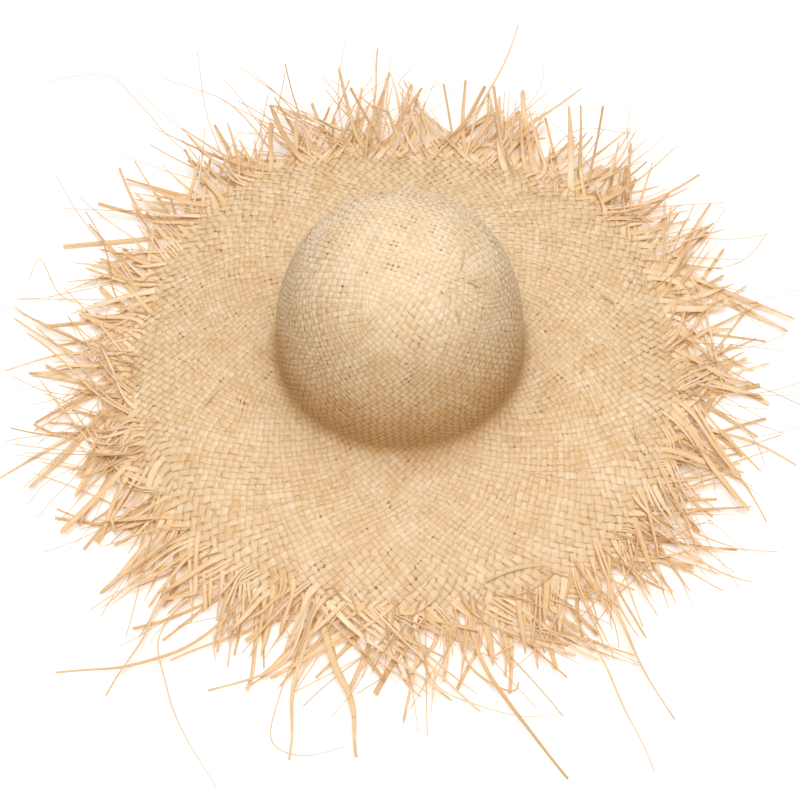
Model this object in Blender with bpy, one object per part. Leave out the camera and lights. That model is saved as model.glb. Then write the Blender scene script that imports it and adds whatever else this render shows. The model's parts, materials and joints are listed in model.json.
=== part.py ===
"""Raffia sun hat with a frayed brim, standing on its brim on a flat surface.

The woven body is one continuous surface of revolution: a tall domed crown, a tight
turn at its foot, and a wide brim that falls to the surface in shallow waves. Beyond
the weave's last row, the loose strand ends lie around the brim in locks. A ribbon
sweatband is sewn inside the crown's foot.

Metres, +Z up. The origin is on the surface that the hat stands on, under the crown's
centre. The front of the hat faces -Y.
"""

import math
import random

import bmesh
import bpy
from mathutils import Vector

# ---- driving dimensions -------------------------------------------------------------

CROWN_RADIUS = 0.095  # middle of the weave at the crown's foot, for a 58 cm head
CROWN_HEIGHT = 0.135  # tip above the brim's surface at the foot
FOOT_HEIGHT = 0.030  # brim's surface at the crown's foot, above the table
SIDE_POWER = 2.7  # how square the crown's shoulder is
RISE_POWER = 2.6  # how early its side starts to lean in
TURN_RADIUS = 0.009  # the tight turn from crown to brim
WEAVE = 0.0018  # two raffia strands, one over the other

BRIM_RADIUS = 0.220  # to the last woven row
BRIM_START_SLOPE = 0.07  # fall of the brim where it leaves the turn
RIM_HEIGHT = 0.010  # mean height of the last woven row
SQUARENESS = 0.026  # the woven outline bulges at its four diagonals by this share
BRIM_SHIFT = (0.003, 0.006)  # the brim is a little wider to the right and at the back
WAVES = ((3, 0.0035, 0.7), (5, 0.0025, 2.1))  # lobes, height and phase of the rim's waves

LOCKS = 48  # bunches of loose strand ends round the rim
SIDE_REACH = 0.312  # the locks on the X axis
END_REACH = 0.332  # the locks on the Y axis
LOCK_SHORTEST = 0.284
LOCK_LONGEST = 0.308
LONG_FRONT_LOCKS = (33, 35, 39, 40)  # counted anticlockwise from +X
LOCK_THICKNESS = 0.0045
LOCK_SIDE_GAP = 0.0005
LOCK_SHAPE = ((0.0, 1.0), (0.15, 0.99), (0.35, 0.96), (0.55, 0.9), (0.82, 0.7), (1.0, 0.3))
LOCK_LANDS_AT = 0.55  # the share of its length from which a lock lies on the table

RIBBON = 0.0008  # thickness of the sweatband
BAND_HEIGHT = 0.030
BAND_FOOT = 0.0085  # bottom of the band, above the brim's surface at the foot
JOIN_WIDTH = 0.016  # the tab over the band's ends, at the back
THREAD_RADIUS = 0.00035
STITCH_HEIGHT = 0.0035  # the seam, above the bottom edge of the band
STITCHES = 60  # round the band

GAP = 0.0003  # between neighbours that touch
STEPS = 64  # round the crown and the brim
CROWN_ROWS, BRIM_ROWS = 14, 8
TURN_ROWS = 5  # an odd number: the crown and the brim part in the middle row
BAND_STEPS, BAND_ROWS = 64, 3

STRAW = (0.72, 0.53, 0.33, 1.0)
STRAW_DARK = (0.63, 0.43, 0.24, 1.0)
RIBBON_CREAM = (0.80, 0.72, 0.58, 1.0)
THREAD_CREAM = (0.86, 0.80, 0.68, 1.0)


# ---- the shape of the woven body ----------------------------------------------------


def crown_radius(rise):
    """Radius of the weave's middle at this height above the foot."""
    share = min(max(rise / CROWN_HEIGHT, 0.0), 1.0)
    return CROWN_RADIUS * (1.0 - share**RISE_POWER) ** (1.0 / SIDE_POWER)


def crown_lean(rise):
    """Angle between the crown's side and the vertical at this height above the foot."""
    step = 1e-4
    return math.atan2(crown_radius(rise - step) - crown_radius(rise + step), 2 * step)


def turn_start():
    """Height above the foot where the crown's side meets the turn."""
    rise = TURN_RADIUS
    for _ in range(20):
        lowest = TURN_RADIUS * (math.cos(math.atan(BRIM_START_SLOPE)) - math.sin(crown_lean(rise)))
        rise = lowest
    return rise


TURN_START = turn_start()


def crown_points(rows):
    """The crown's profile from the tip down to the turn, as (radius, height), evenly spaced."""
    fine = 400
    line = []
    for i in range(fine + 1):
        angle = math.pi / 2 * i / fine
        rise = CROWN_HEIGHT * math.cos(angle) ** (2 / RISE_POWER)
        rise = max(rise, TURN_START)
        line.append((crown_radius(rise), FOOT_HEIGHT + rise))
        if rise == TURN_START:
            break
    return evenly(line, rows)


def turn_points(rows):
    """The arc from the crown's side to the brim."""
    lean = crown_lean(TURN_START)
    centre_r = crown_radius(TURN_START) + TURN_RADIUS * math.cos(lean)
    centre_z = FOOT_HEIGHT + TURN_START + TURN_RADIUS * math.sin(lean)
    last = math.pi / 2 - math.atan(BRIM_START_SLOPE)
    return [
        (centre_r - TURN_RADIUS * math.cos(a), centre_z - TURN_RADIUS * math.sin(a))
        for a in (lean + (last - lean) * i / rows for i in range(rows + 1))
    ]


def parted_turn():
    """The turn's points that belong to the crown, and those that belong to the brim."""
    turn = turn_points(TURN_ROWS)
    above, under = turn[TURN_ROWS // 2], turn[TURN_ROWS // 2 + 1]
    length = math.dist(above, under)
    cuts = []
    for along in (length / 2 - GAP / 2, length / 2 + GAP / 2):
        cuts.append(tuple(p + (q - p) * along / length for p, q in zip(above, under)))
    return turn[: TURN_ROWS // 2 + 1] + [cuts[0]], [cuts[1]] + turn[TURN_ROWS // 2 + 1 :]


def evenly(line, rows):
    """rows + 1 points along the line, the same distance apart."""
    along = [0.0]
    for a, b in zip(line, line[1:]):
        along.append(along[-1] + math.dist(a, b))
    made, j = [], 0
    for i in range(rows + 1):
        target = along[-1] * i / rows
        while j < len(line) - 2 and along[j + 1] < target:
            j += 1
        share = (target - along[j]) / (along[j + 1] - along[j])
        made.append(tuple(p + (q - p) * share for p, q in zip(line[j], line[j + 1])))
    return made


TURN_END_RADIUS, TURN_END_Z = turn_points(TURN_ROWS)[-1]


def rim_radius(angle):
    """Radius of the last woven row, a circle drawn out at its four diagonals."""
    shift = BRIM_SHIFT[0] * math.cos(angle) + BRIM_SHIFT[1] * math.sin(angle)
    return BRIM_RADIUS * (1.0 - SQUARENESS * math.cos(4 * angle)) + shift


def rim_wave(angle):
    return sum(height * math.cos(lobes * angle + phase) for lobes, height, phase in WAVES)


def brim_place(share, angle, below=0.0):
    """A point of the brim's middle surface, from the turn (share 0) to the last row (share 1)."""
    width = BRIM_RADIUS - TURN_END_RADIUS
    radius = TURN_END_RADIUS + share * (rim_radius(angle) - TURN_END_RADIUS)
    run = share * width
    bend = (TURN_END_Z - RIM_HEIGHT - BRIM_START_SLOPE * width) / width**2
    ease = share * share * (3 - 2 * share)
    z = TURN_END_Z - BRIM_START_SLOPE * run - bend * run * run + ease * rim_wave(angle)
    return Vector((radius * math.cos(angle), radius * math.sin(angle), z - below))


# ---- making objects -----------------------------------------------------------------


def clear_scene():
    for obj in list(bpy.data.objects):
        bpy.data.objects.remove(obj, do_unlink=True)


def material(name, colour, roughness):
    made = bpy.data.materials.new(name)
    made.use_nodes = True
    shader = made.node_tree.nodes["Principled BSDF"]
    shader.inputs["Base Color"].default_value = colour
    shader.inputs["Roughness"].default_value = roughness
    shader.inputs["Metallic"].default_value = 0.0
    made.diffuse_color = colour
    return made


def add_object(name, mesh, finish):
    obj = bpy.data.objects.new(name, mesh)
    bpy.context.scene.collection.objects.link(obj)
    obj.data.materials.append(finish)
    return obj


def thicken(obj, thickness):
    """Gives a surface its thickness, half on each side."""
    solid = obj.modifiers.new("weave", "SOLIDIFY")
    solid.thickness = thickness
    solid.offset = 0.0
    solid.use_even_offset = True


def finish_mesh(bm, name):
    bmesh.ops.recalc_face_normals(bm, faces=bm.faces)
    mesh = bpy.data.meshes.new(name)
    bm.to_mesh(mesh)
    bm.free()
    mesh.shade_smooth()
    return mesh


def turned(profile, steps):
    """A profile of (radius, height) points turned once round Z."""
    bm = bmesh.new()
    line = [bm.verts.new((radius, 0.0, z)) for radius, z in profile]
    edges = [bm.edges.new(pair) for pair in zip(line, line[1:])]
    bmesh.ops.spin(
        bm, geom=line + edges, cent=(0, 0, 0), axis=(0, 0, 1), angle=2 * math.pi, steps=steps
    )
    bmesh.ops.remove_doubles(bm, verts=bm.verts, dist=1e-6)
    return bm


def make_crown(straw):
    """The domed crown, from its tip to the middle of the turn at its foot."""
    profile = crown_points(CROWN_ROWS) + parted_turn()[0][1:]
    profile[0] = (0.0, FOOT_HEIGHT + CROWN_HEIGHT)
    crown = add_object("crown", finish_mesh(turned(profile, STEPS), "crown"), straw)
    thicken(crown, WEAVE)


def make_brim(straw):
    """The brim, from the middle of the turn to the last woven row."""
    angles = [2 * math.pi * i / STEPS for i in range(STEPS)]
    bm = bmesh.new()
    rings = []
    for radius, z in parted_turn()[1]:
        ring = [(radius * math.cos(a), radius * math.sin(a), z) for a in angles]
        rings.append([bm.verts.new(place) for place in ring])
    for row in range(1, BRIM_ROWS + 1):
        rings.append([bm.verts.new(brim_place(row / BRIM_ROWS, a)) for a in angles])
    for inner, outer in zip(rings, rings[1:]):
        for i in range(STEPS):
            j = (i + 1) % STEPS
            bm.faces.new((inner[i], outer[i], outer[j], inner[j]))
    brim = add_object("brim", finish_mesh(bm, "brim"), straw)
    thicken(brim, WEAVE)


def make_lock(name, angle, reach, lean, straw):
    """A bunch of loose strand ends: it leaves the rim, falls and lies flat on the table."""
    half_sector = math.pi / LOCKS
    bm = bmesh.new()
    rings = []
    for share, width in LOCK_SHAPE:
        falls = min(share / LOCK_LANDS_AT, 1.0)
        ease = falls * falls * (3 - 2 * falls)
        root = brim_place(1.0, angle).z - WEAVE / 2
        thick = LOCK_THICKNESS * (0.45 + 1.1 * share - 1.2 * share * share)
        half_width = (half_sector - LOCK_SIDE_GAP / BRIM_RADIUS) * width
        middle = angle + lean * half_sector * (1 - width)
        rings.append(lock_ring(bm, share, reach, middle, half_width, root * (1 - ease), thick))
    sides = len(rings[0])
    for near, far in zip(rings, rings[1:]):
        for i in range(sides):
            j = (i + 1) % sides
            bm.faces.new((near[i], near[j], far[j], far[i]))
    bm.faces.new(rings[0])
    bm.faces.new(list(reversed(rings[-1])))
    mesh = finish_mesh(bm, name)
    mesh.set_sharp_from_angle(angle=math.radians(30))
    add_object(name, mesh, straw)


def lock_ring(bm, share, reach, middle, half_width, low, thick):
    """One cross-section of a lock: flat below, crowned above, thin at both edges."""
    outline = ((-1, 0.35), (-0.55, 0.9), (0, 1.0), (0.55, 0.9), (1, 0.35), (0.85, 0), (-0.85, 0))
    made = []
    for across, up in outline:
        angle = middle + across * half_width
        start = rim_radius(angle) + 2 * GAP
        radius = start + share * (reach - start)
        place = (radius * math.cos(angle), radius * math.sin(angle), low + up * thick)
        made.append(bm.verts.new(place))
    return made


def make_fringe(straw):
    """All the locks. The four on the axes lean neither way."""
    chance = random.Random(7)
    for number in range(LOCKS):
        angle = 2 * math.pi * number / LOCKS
        reach = chance.uniform(LOCK_SHORTEST, LOCK_LONGEST)
        lean = chance.choice((-0.8, 0.8))
        if number in LONG_FRONT_LOCKS:
            reach += 0.025
        if number % (LOCKS // 4) == 0:
            reach, lean = (END_REACH if number % (LOCKS // 2) else SIDE_REACH), 0.0
        make_lock(f"fringe_lock_{number + 1:02d}", angle, reach, lean, straw)


def band_radius(rise, layers):
    """Radius of the middle of a ribbon that lies this many layers inside the crown's wall."""
    wall = crown_radius(rise) - WEAVE / 2 / math.cos(crown_lean(rise))
    return wall - (GAP + RIBBON / 2) - (layers - 1) * (GAP + RIBBON)


def band_profile(layers, low, high):
    rises = [low + (high - low) * i / BAND_ROWS for i in range(BAND_ROWS + 1)]
    return [(band_radius(rise, layers), FOOT_HEIGHT + rise) for rise in rises]


def make_sweatband(ribbon):
    """The ribbon round the inside of the crown's foot."""
    profile = band_profile(1, BAND_FOOT, BAND_FOOT + BAND_HEIGHT)
    band = add_object("sweatband", finish_mesh(turned(profile, BAND_STEPS), "sweatband"), ribbon)
    thicken(band, RIBBON)


def make_band_join(ribbon):
    """The short tab of ribbon sewn over the sweatband's two ends, at the back."""
    inset = 0.001
    profile = band_profile(2, BAND_FOOT + inset, BAND_FOOT + BAND_HEIGHT - inset)
    half_angle = JOIN_WIDTH / 2 / CROWN_RADIUS
    steps = 4
    bm = bmesh.new()
    rows = []
    for radius, z in profile:
        inner = radius - GAP
        angles = [math.pi / 2 - half_angle + 2 * half_angle * i / steps for i in range(steps + 1)]
        rows.append([bm.verts.new((inner * math.cos(a), inner * math.sin(a), z)) for a in angles])
    for low, high in zip(rows, rows[1:]):
        for i in range(steps):
            bm.faces.new((low[i], low[i + 1], high[i + 1], high[i]))
    join = add_object("sweatband_join_tab", finish_mesh(bm, "sweatband_join_tab"), ribbon)
    thicken(join, RIBBON)


def make_seam(thread):
    """The thread that holds the band: one ring, in and out a little at each stitch."""
    rise = BAND_FOOT + STITCH_HEIGHT
    surface = band_radius(rise, 1) - RIBBON / 2 - GAP - THREAD_RADIUS
    behind_tab = GAP + GAP + RIBBON + GAP
    curve = bpy.data.curves.new("sweatband_thread", "CURVE")
    curve.dimensions = "3D"
    curve.bevel_depth = THREAD_RADIUS
    curve.bevel_resolution = 0
    curve.use_fill_caps = True
    line = curve.splines.new("POLY")
    half_tab = JOIN_WIDTH / 2 / CROWN_RADIUS + 0.03
    first, last = math.pi / 2 + half_tab, math.pi / 2 + 2 * math.pi - half_tab
    count = 2 * STITCHES + 1
    line.points.add(count - 1)
    for i in range(count):
        angle = first + (last - first) * i / (count - 1)
        radius = surface - (behind_tab / 2 if i % 2 else 0.0)
        place = (radius * math.cos(angle), radius * math.sin(angle), FOOT_HEIGHT + rise, 1.0)
        line.points[i].co = place
    add_object("sweatband_thread", curve, thread)


def main():
    clear_scene()
    straw = material("woven raffia", STRAW, 0.62)
    loose_straw = material("loose raffia", STRAW_DARK, 0.58)
    ribbon = material("ribbon", RIBBON_CREAM, 0.85)
    thread = material("thread", THREAD_CREAM, 0.7)
    make_crown(straw)
    make_brim(straw)
    make_fringe(loose_straw)
    make_sweatband(ribbon)
    make_band_join(ribbon)
    make_seam(thread)


main()
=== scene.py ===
import json
import math

import bpy
import numpy as np
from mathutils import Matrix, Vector

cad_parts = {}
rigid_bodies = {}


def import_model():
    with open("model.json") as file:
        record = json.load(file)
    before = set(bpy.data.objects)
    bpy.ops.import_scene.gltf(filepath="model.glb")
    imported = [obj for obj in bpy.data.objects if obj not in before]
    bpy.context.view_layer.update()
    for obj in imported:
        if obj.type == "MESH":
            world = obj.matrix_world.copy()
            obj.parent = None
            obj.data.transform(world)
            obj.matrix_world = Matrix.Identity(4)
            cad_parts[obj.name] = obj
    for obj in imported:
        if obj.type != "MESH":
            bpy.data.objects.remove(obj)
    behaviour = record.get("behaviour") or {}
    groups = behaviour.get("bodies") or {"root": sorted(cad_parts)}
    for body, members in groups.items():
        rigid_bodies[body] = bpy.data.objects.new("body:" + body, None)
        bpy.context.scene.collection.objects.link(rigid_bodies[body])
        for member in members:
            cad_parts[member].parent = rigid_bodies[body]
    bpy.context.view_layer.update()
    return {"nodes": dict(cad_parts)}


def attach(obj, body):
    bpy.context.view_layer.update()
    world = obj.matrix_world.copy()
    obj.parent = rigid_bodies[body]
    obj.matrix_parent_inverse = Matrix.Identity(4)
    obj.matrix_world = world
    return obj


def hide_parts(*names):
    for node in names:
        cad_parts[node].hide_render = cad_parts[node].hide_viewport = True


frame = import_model()

# ---- the woven body, as in the CAD model --------------------------------------------

CROWN_RADIUS = 0.095
CROWN_HEIGHT = 0.135
FOOT_HEIGHT = 0.030  # of the crown's foot
SIDE_POWER = 2.7  # how square the crown's outline is
RISE_POWER = 2.6
TURN_RADIUS = 0.009  # between the crown's side and the brim
BRIM_RADIUS = 0.220
BRIM_START_SLOPE = 0.07
RIM_HEIGHT = 0.010
SQUARENESS = 0.026  # how far the rim is drawn out at its four diagonals
BRIM_SHIFT = (0.003, 0.006)  # of the rim's middle, sideways and lengthways
WAVES = ((3, 0.0035, 0.7), (5, 0.0025, 2.1))  # lobes round the rim, height, phase
CROWN_POINTS, TURN_POINTS, BRIM_POINTS = 1500, 61, 600  # along the profile
PAST_RIM = 1.15  # how far the profile runs on, in brim widths
WEAVE = 0.0018  # thickness of the CAD model's shells
GAP = 0.0003
RIBBON = 0.0008
BAND_HEIGHT = 0.030
BAND_FOOT = 0.0085
JOIN_WIDTH = 0.016
THREAD_RADIUS = 0.00035
STITCH_HEIGHT = 0.0035
STITCHES = 60

# ---- the weave ----------------------------------------------------------------------

TIP_TURN = math.radians(-22)  # direction of the strands that cross the tip
TIP_PITCH = 0.0038  # between neighbouring strands on the tip
TIP_STRANDS = 30  # each way across the tip
TIP_HALF = TIP_PITCH * TIP_STRANDS / 2  # from the tip's middle to a corner of its square
WALL_START = 0.9 * TIP_HALF  # arc from the tip at which the slanting weave begins
CORNER_FADE = 0.045  # arc over which the tip's four corners round off
PITCHES = ((0.0, 0.0038), (0.17, 0.0040), (0.30, 0.0051), (0.33, 0.0052))  # arc from tip, pitch
JOIN_IN = 0.036  # arc over which a pair of new strands grows to full width
CROWN_STEP, BRIM_STEP = 0.00068, 0.00085  # arc between cross-sections of a strand
JOIN_LEAD = 0.3 * JOIN_IN  # how much earlier than its own arc a new strand begins to grow
JOIN_WIDTH_LEAST = 0.12  # share of its full width with which it first shows
JOIN_RELIEF = 1.6  # its rise and dip are full at one part in this of its full width
NEW_PLACE = 0.6180339887  # of a turn between one pair of new strands and the next
NEW_PLACE_CHANCE = 0.03
WANDER = 0.12  # how far a strand's middle wanders, as a share of its width
WANDER_WAVES = (0.03, 0.09)
WANDER_FADE = 0.02
WEAVE_SPARE = 0.012  # how far the weave is laid past the rim, before it's trimmed
EASE_ARC, EASE_FADE = 0.105, 0.03  # where the strands' bends round the tip's square are eased
BEND_ROUNDS, WIDTH_ROUNDS = 14, 20
RELIEF = 0.00055  # how far a strand rises and dips from the middle of the weave
ACROSS = (-1.0, -0.55, 0.0, 0.55, 1.0)  # points across a strand, in half widths
EDGE_DROP = 0.6  # how much less the edges of a strand rise than its middle
FILL = 0.95  # share of a strand's room that it fills
FILL_CHANCE = (-0.07, 0.03)
FILL_DRIFT, FILL_DRIFT_SCALE = 0.06, 0.006
RIM_SLACK, RIM_SLACK_START, RIM_SLACK_ARC = 0.09, 0.028, 0.025  # strands are narrower at the rim
SHOVE, SHOVE_SCALE = 0.0006, 0.028  # unevenness of the weave in its own surface
RIM_CALM, RIM_CALM_ARC, TIP_CALM = 0.004, 0.02, 0.012  # where it dies out, at the rim and the tip
SWELL, SWELL_SCALE = 0.0005, 0.05  # and square to it
STRIP_EDGE = 0.08  # empty edge of each strand's strip in the bake's map

WOVEN_COLOURS = (0.755, 0.605, 0.425), (0.60, 0.39, 0.183), (0.42, 0.205, 0.068)
LOOSE_COLOURS = (0.86, 0.705, 0.515), (0.71, 0.47, 0.238), (0.45, 0.235, 0.100)
HOLE_SHADE_BROWN = (0.20, 0.095, 0.04)  # painted shade: dark brown painted at some of the weave's corners, where a gap would show shade
DIP_SHADE = 0.75  # painted shade: the most by which a strand is browner where it dips under another
TONE_BROWN = 0.9  # how brown the brownest loose ends are: the hairs' and long ends' own colour, and painted shade on the ends under the weave's edge
STREAK_GOLD, PATCH_GOLD, WEATHER_GOLD = 0.36, 0.36, 0.22  # shares of each in the straw's shade
SIDE_GOLD, SIDE_BROWN = 0.60, 0.36  # painted shade: how much deeper in colour the crown's side is painted; the same shares brown the loose ends' tips
SIDE_TOP, SIDE_FADE = 0.115, 0.07  # arc from the tip at which the painted shade begins, and over which
SIDE_FOOT, FOOT_FADE = 0.009, 0.02  # arc above the head line at which that ends, and over which
TOP_EDGE, TOP_PALER = 0.05, 0.5  # painted highlight: arc from the tip of the palest part, and how much paler it is painted


def crown_radius(rise):
    """Radius of the weave's middle at a height above the crown's foot."""
    share = np.clip(rise / CROWN_HEIGHT, 0, 1)
    return CROWN_RADIUS * (1 - share**RISE_POWER) ** (1 / SIDE_POWER)


def crown_lean(rise):
    """How far the crown's side leans inwards at a height, as an angle."""
    step = 1e-4
    return math.atan2(crown_radius(rise - step) - crown_radius(rise + step), 2 * step)


def turn_start():
    """Height above the foot where the crown's side meets the turn to the brim."""
    rise = TURN_RADIUS
    for _ in range(20):
        rise = TURN_RADIUS * (math.cos(math.atan(BRIM_START_SLOPE)) - math.sin(crown_lean(rise)))
    return rise


def hat_profile():
    """The weave's middle from the tip past the rim: arc length, radius, height, and the arcs
    at the head line, at the brim's start and at the last woven row."""
    start = turn_start()
    angle = np.linspace(0, math.pi / 2, CROWN_POINTS)
    rise = np.maximum(CROWN_HEIGHT * np.cos(angle) ** (2 / RISE_POWER), start)
    rise = rise[: np.argmax(rise <= start) + 1]
    crown = np.stack([crown_radius(rise), FOOT_HEIGHT + rise], 1)
    lean = crown_lean(start)
    middle = np.array([crown_radius(start), FOOT_HEIGHT + start])
    middle = middle + TURN_RADIUS * np.array([math.cos(lean), math.sin(lean)])
    bend = np.linspace(lean, math.pi / 2 - math.atan(BRIM_START_SLOPE), TURN_POINTS)
    turn = middle - TURN_RADIUS * np.stack([np.cos(bend), np.sin(bend)], 1)
    width = BRIM_RADIUS - turn[-1, 0]
    run = np.linspace(0, PAST_RIM * width, BRIM_POINTS)
    sag = (turn[-1, 1] - RIM_HEIGHT - BRIM_START_SLOPE * width) / width**2
    brim = np.stack([turn[-1, 0] + run, turn[-1, 1] - BRIM_START_SLOPE * run - sag * run**2], 1)
    line = np.concatenate([crown, turn[1:], brim[1:]])
    arc = np.concatenate([[0], np.cumsum(np.hypot(*np.diff(line, axis=0).T))])
    head_line = arc[len(crown) - 1 + TURN_POINTS // 2]
    brim_start = len(crown) + TURN_POINTS - 2
    rim = np.interp(BRIM_RADIUS, line[brim_start + 1 :, 0], arc[brim_start + 1 :])
    return arc, line[:, 0], line[:, 1], head_line, arc[brim_start], rim


ARC, RADIUS, HEIGHT, HEAD_LINE, BRIM_START, RIM = hat_profile()
BRIM_START_RADIUS = np.interp(BRIM_START, ARC, RADIUS)


def rim_radius(angle):
    """Radius of the last woven row, with its drawn-out diagonals."""
    shift = BRIM_SHIFT[0] * np.cos(angle) + BRIM_SHIFT[1] * np.sin(angle)
    return BRIM_RADIUS * (1 - SQUARENESS * np.cos(4 * angle)) + shift


def rim_wave(angle):
    """How far the rim stands above its usual height."""
    return sum(height * np.cos(lobes * angle + phase) for lobes, height, phase in WAVES)


def ramp(x):
    """From 0 to 1 as x does, with soft ends."""
    x = np.clip(x, 0, 1)
    return x * x * (3 - 2 * x)


def on_hat(arc, angle):
    """Points on the weave's middle surface, at an arc from the tip and an angle round it."""
    radius = np.interp(arc, ARC, RADIUS)
    height = np.interp(arc, ARC, HEIGHT)
    share = np.maximum((radius - BRIM_START_RADIUS) / (BRIM_RADIUS - BRIM_START_RADIUS), 0)
    share = np.where(arc > BRIM_START, share, 0)
    radius = radius + share * (rim_radius(angle) - BRIM_RADIUS)
    height = height + ramp(share) * rim_wave(angle)
    return np.stack([radius * np.cos(angle), radius * np.sin(angle), height], -1)


def unit(vectors):
    return vectors / np.maximum(np.linalg.norm(vectors, axis=-1, keepdims=True), 1e-12)


def outward(arc, angle):
    """The hat's outward direction there."""
    step = 1e-4
    near = np.maximum(arc - step, 1e-5)
    down = on_hat(arc + step, angle) - on_hat(near, angle)
    around = on_hat(arc, angle + 0.01) - on_hat(arc, angle - 0.01)
    return unit(np.cross(down, around))


def drift(places, scale, seed):
    """Slow smooth noise in space, between about -1 and 1: the sum of a few waves."""
    chance = np.random.default_rng(seed)
    total = 0
    for _ in range(5):
        way = unit(chance.normal(size=3)) * 2 * math.pi / (scale * chance.uniform(0.7, 1.5))
        total = total + np.sin(places @ way + chance.uniform(0, 2 * math.pi))
    return total / 2.6


# ---- where the strands run ----------------------------------------------------------


def strand_count(arc):
    """How many strands of one family cross the circle at this arc."""
    pitch = np.interp(arc, *zip(*PITCHES))
    return 2 * math.pi * np.interp(arc, ARC, RADIUS) / (pitch * math.sqrt(2))


def births(seed):
    """The arc at which each strand of a family begins, in their order round the hat. New ones
    come in neighbouring pairs, so that over and under keep alternating."""
    chance = np.random.default_rng(seed)
    begins = [-1.0] * (2 * TIP_STRANDS)
    arcs = np.linspace(WALL_START + JOIN_LEAD, RIM, 2000)
    wanted = strand_count(arcs)
    turn = chance.uniform()
    while len(begins) + 1 < wanted[-1]:
        enough = np.argmax(wanted > len(begins) + 1)
        turn = (turn + NEW_PLACE + chance.uniform(-NEW_PLACE_CHANCE, NEW_PLACE_CHANCE)) % 1
        place = int(round(turn * len(begins)))
        begins[place:place] = [arcs[enough]] * 2
    return np.array(begins)


def strand_shares(levels, begins, seed):
    """Each strand's weight, and its share of a full turn, at each level."""
    chance = np.random.default_rng(seed)
    grown = ramp((levels[:, None] - begins + JOIN_LEAD) / JOIN_IN)
    grown[:, begins < 0] = 1.0
    share = grown / grown.sum(1, keepdims=True)
    wavelength = chance.uniform(*WANDER_WAVES, len(begins))
    phase = chance.uniform(0, 2 * math.pi, len(begins))
    shift = WANDER * np.sin(2 * math.pi * levels[:, None] / wavelength + phase) * share
    shift = shift * ramp((levels[:, None] - WALL_START) / WANDER_FADE)
    return grown, share + np.roll(shift, -1, 1) - shift


def even_levels(first, last, step):
    return np.linspace(first, last, round((last - first) / step) + 1)


def lay_wall():
    """Both slanting families from the tip's square to past the rim. For each: the levels, the
    turns, the over-or-under height and the width of every strand at every level."""
    crown_levels = even_levels(WALL_START, HEAD_LINE, CROWN_STEP)
    brim_levels = even_levels(HEAD_LINE, RIM + WEAVE_SPARE, BRIM_STEP)
    levels = np.concatenate([crown_levels, brim_levels[1:]])
    radius = np.interp(levels, ARC, RADIUS)
    steps = np.diff(levels) * 2 / (radius[1:] + radius[:-1])
    swing = np.concatenate([[0], np.cumsum(steps)]) / (2 * math.pi)
    families = []
    for seed in (11, 12):
        begins = births(seed)
        grown, share = strand_shares(levels, begins, seed)
        edge = np.concatenate([np.zeros((len(levels), 1)), np.cumsum(share, 1)], 1)
        families.append(dict(begins=begins, grown=grown, share=share, edge=edge))
    for own, other, side in ((0, 1, -1), (1, 0, 1)):
        cross(families[own], families[other], side, side * swing[:, None])
    return levels, families


def cross(family, crossed, side, swing):
    """Turns a family round the hat to its side, and lays it over and under the other one."""
    count = len(family["begins"])
    turns = (family["edge"][:, 1:] + family["edge"][:, :-1]) / 2 + swing
    met = (turns + swing) % 1
    index = np.arange(count + 1) - 0.5
    at = np.stack([np.interp(m, e, index) for m, e in zip(met, crossed["edge"])])
    full = np.stack([np.interp(a, index[:-1] + 0.5, g) for a, g in zip(at, crossed["grown"])])
    parity = 1 - 2 * (np.arange(count) % 2)
    over = -side * parity * np.cos(math.pi * at) * np.minimum(JOIN_RELIEF * full, 1)
    family.update(turns=turns, over=over, side=side)


def round_off_corners(level, turn):
    """Carries the slanting weave's levels and turns from the tip's square to full circles."""
    fade = 0.5 + 0.5 * np.cos(math.pi * np.clip((level - WALL_START) / CORNER_FADE, 0, 1))
    quarter = turn * 4
    along = quarter % 1
    square = TIP_HALF * np.hypot(1 - along, along)
    square_angle = (np.floor(quarter) + np.arctan2(along, 1 - along) * 2 / math.pi) * math.pi / 2
    arc = level + (square - WALL_START) * fade
    angle = 2 * math.pi * turn * (1 - fade) + square_angle * fade
    return arc, angle + TIP_TURN


def turn_spacing(level, turn, arc, angle):
    """How wide a full turn's worth of strands would be, measured square to this strand."""
    step = 0.002
    ahead = on_hat(*round_off_corners(level, turn + step))
    behind = on_hat(*round_off_corners(level, turn - step))
    around = (ahead - behind) / (2 * step)
    along = unit(np.gradient(on_hat(arc, angle), axis=0))
    return np.linalg.norm(around - (around * along).sum(1, keepdims=True) * along, axis=1)


def tip_part(row, quarter):
    """One straight strand across the tip: arcs, angles and over-or-under heights."""
    offset = (row + 0.5) * TIP_PITCH
    reach = TIP_HALF - abs(offset)
    count = max(2, round(2 * reach / TIP_PITCH * 4) + 1)
    along = np.linspace(-reach, reach, count)
    over = (1 - 2 * (row % 2)) * np.cos(math.pi * (along / TIP_PITCH - 0.5))
    angle = np.arctan2(offset, along) + quarter * math.pi / 2 + TIP_TURN
    return np.hypot(along, offset), angle, over


def smoothed(line, rounds):
    """A polyline (rows are points) with its kinks eased and its ends kept."""
    for _ in range(rounds):
        line = np.concatenate([line[:1], (line[:-2] + 2 * line[1:-1] + line[2:]) / 4, line[-1:]])
    return line


def wall_runs(levels, family):
    """The slanting run of each strand of a family, by its place in the family."""
    made = {}
    for column in range(len(family["begins"])):
        live = np.flatnonzero(family["grown"][:, column] > JOIN_WIDTH_LEAST)[0]
        rows = slice(live, None)
        turns = family["turns"][rows, column]
        arc, angle = round_off_corners(levels[rows], turns)
        width = family["share"][rows, column] * turn_spacing(levels[rows], turns, arc, angle)
        made[column] = np.stack([arc, angle, family["over"][rows, column], width], 1)
    return made


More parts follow.
